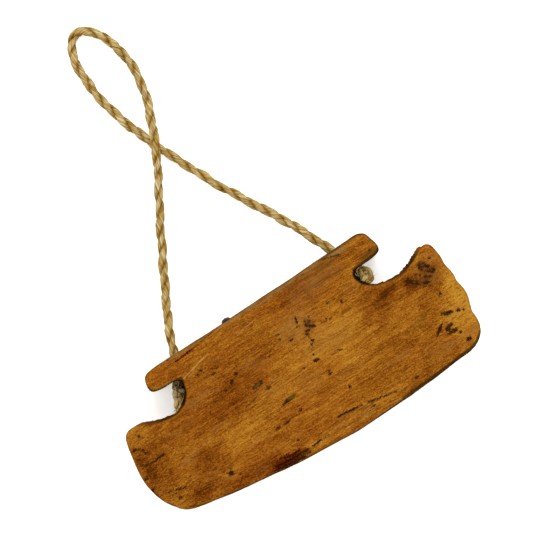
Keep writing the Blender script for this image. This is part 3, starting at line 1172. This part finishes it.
def make_hanger(side_name, iron):
    """A wire bent into an eye inside the hollow, with both legs through the bar."""
    x = SIDE[side_name] * HANGER_X
    top = CLENCH_Y[side_name]
    gape = math.asin(LEG_X / EYE_R)
    eye = [(x - EYE_R * math.sin(a), EYE_Y + EYE_R * math.cos(a), HANG_Z)
           for a in np.linspace(2 * math.pi - gape, gape, 40)]
    left_leg = [(x + LEG_X + 1.8, top, HANG_Z), (x + LEG_X + 0.5, top, HANG_Z),
                (x + LEG_X, top - 0.5, HANG_Z)]
    right_leg = [(x - LEG_X, top - 0.5, HANG_Z), (x - LEG_X - 0.5, top, HANG_Z),
                 (x - LEG_X - 1.8, top, HANG_Z)]
    path = np.array(left_leg + eye + right_leg, float)
    wire = wire_mesh(path, WIRE_R, False, 41)
    if side_name == "left":
        bow = [(x + 2.7, top - 1.5, HANG_Z), (x + 1.9, top, HANG_Z), (x + 0.7, top + 0.5, HANG_Z),
               (x - 0.7, top + 0.5, HANG_Z), (x - 1.9, top, HANG_Z), (x - 2.7, top - 1.5, HANG_Z)]
        wire = joined(wire, wire_mesh(smooth(bow, 6), BOW_R, False, 45))
    hanger = new_piece(side_name + "_wire_hanger", *wire)
    dress(hanger, iron, "iron_wire", "bell", side_name + "_hanger")


def make_link(side_name, iron):
    """The ring through a hanger's eye and a clapper's hole."""
    x = SIDE[side_name] * HANGER_X
    turn = np.linspace(0, 2 * math.pi, 90, endpoint=False)
    ring = np.stack([np.full_like(turn, x), RING_Y + RING_R * np.cos(turn),
                     HANG_Z + RING_R * np.sin(turn)], axis=1)
    link = new_piece(side_name + "_ring_link", *wire_mesh(ring, WIRE_R, True, 43))
    dress(link, iron, "iron_wire", side_name + "_link", side_name + "_link")


def clapper_material():
    """Old dry wood, with its grain down the clapper and a bruised foot."""
    g = Graph("clapper_wood", 0.72, 0.2)
    place = g.warped(g.mm, 0.12, (1.2, 0, 1.2))
    fine = g.noise(g.stretched(1.5, 0.1, 1.5, place), detail=4, rough=0.6)
    mid = g.noise(g.stretched(0.4, 0.03, 0.4, place), detail=2)
    dirt = g.noise(g.mm, scale=0.14, detail=4)
    tone = g.plus(g.times(fine, 0.7), g.times(mid, 0.5), g.times(dirt, 0.5), -0.38)
    colour = g.ramp(tone, 1.0, [
        (0.05, 44, 26, 14), (0.3, 84, 54, 29), (0.5, 117, 80, 45), (0.7, 146, 106, 64), (0.95, 170, 132, 86)])
    worn = g.remap(g.field("worn"), 0.08, 0.35)
    colour = g.mix(g.times(worn, 0.45), colour, srgb(170, 128, 80))
    cracks = g.remap(g.noise(g.stretched(1.1, 0.05, 1.1, place), detail=1), 0.66, 0.71)
    colour = g.mix(g.times(cracks, 0.8), colour, srgb(30, 18, 10))
    g.bump(g.plus(g.times(fine, 0.8), g.times(dirt, 0.5), g.times(cracks, -0.9)), 0.7, 0.4)
    return g.finish(colour, g.remap(dirt, 0.3, 0.7, 0.62, 0.86))


def make_clapper(side_name, old_wood, seed):
    """A whittled paddle with worn edges, left plain about its hole."""
    clapper = remeshed(side_name + "_clapper", side_name + "_wooden_clapper", CLAPPER_VOXEL)
    points = get_points(clapper)
    x = SIDE[side_name] * HANGER_X
    hole = np.hypot(points[:, 0] - x, points[:, 1] - SWAY_Y)
    hold = np.clip((hole - 2.4) / 2.5, 0.1, 1)
    rounded = relax(points, get_edges(clapper), 12, 0.5 * hold)
    worn = np.linalg.norm(rounded - points, axis=1)
    set_points(clapper, rounded)
    normals = get_normals(clapper)
    low = np.clip((SWAY_Y - 8 - rounded[:, 1]) / 8, 0, 1)
    cut = (0.3 * (gouges(rounded * (1 / 7, 1 / 15, 1 / 7), seed) ** 2 - 0.9)
           + 0.12 * noise(rounded * (1 / 5, 1 / 14, 1 / 5), seed + 5)
           + 0.06 * noise(rounded * (1 / 1.6, 1 / 12, 1 / 1.6), seed + 6) - 0.12)
    set_points(clapper, rounded + normals * (cut * low)[:, None])
    set_field(clapper, "worn", worn)
    dress(clapper, old_wood, "clapper_wood", side_name + "_clapper", side_name + "_clapper")


iron = iron_material()
old_wood = clapper_material()
for side_name, seed in (("left", 51), ("right", 71)):
    make_hanger(side_name, iron)
    make_link(side_name, iron)
    make_clapper(side_name, old_wood, seed)

# ---------------------------------------------------------------- floor and light

# The table reaches this far from the middle in millimetres, and glows a little by itself
FLOOR_HALF = 3000
FLOOR_GLOW = 0.46


def make_floor():
    """The plain pale table that the bell lies on."""
    g = Graph("white_table", 0.85, 0.1)
    tint = g.noise(g.mm, scale=0.01, detail=2)
    colour = g.mix(tint, (0.91, 0.91, 0.91, 1), (0.925, 0.925, 0.925, 1))
    corners = [(x * FLOOR_HALF, y * FLOOR_HALF, 0) for x, y in ((-1, -1), (1, -1), (1, 1), (-1, 1))]
    floor = new_piece("floor", corners, [(0, 1, 2, 3)], False)
    g.shader.inputs["Emission Color"].default_value = (1.0, 0.985, 0.945, 1)
    g.shader.inputs["Emission Strength"].default_value = FLOOR_GLOW
    floor.data.materials.append(g.finish(colour))


WORLD_LIGHT = 1.12
KEY_LIGHT = 1.35
# The key light's width and height above the table in degrees, and where it comes from in X and Y
KEY_SPREAD = 32
KEY_HEIGHT = 54
KEY_FROM = (0.53, 0.848)


def make_light():
    """A soft white studio all round, and a broad key light from the top of the view."""
    world = bpy.data.worlds.new("studio")
    world.use_nodes = True
    ground = world.node_tree.nodes["Background"]
    ground.inputs["Color"].default_value = (0.985, 0.995, 1.0, 1)
    ground.inputs["Strength"].default_value = WORLD_LIGHT
    bpy.context.scene.world = world
    data = bpy.data.lights.new("key", "SUN")
    data.energy = KEY_LIGHT
    data.angle = math.radians(KEY_SPREAD)
    data.color = (1.0, 0.985, 0.965)
    key = bpy.data.objects.new("key", data)
    height = math.radians(KEY_HEIGHT)
    away = (KEY_FROM[0] * math.cos(height), KEY_FROM[1] * math.cos(height), math.sin(height))
    key.rotation_mode = "QUATERNION"
    key.rotation_quaternion = Vector(away).to_track_quat("Z", "Y")
    bpy.context.scene.collection.objects.link(key)
    bpy.context.scene.view_settings.view_transform = "Standard"


make_floor()
make_light()
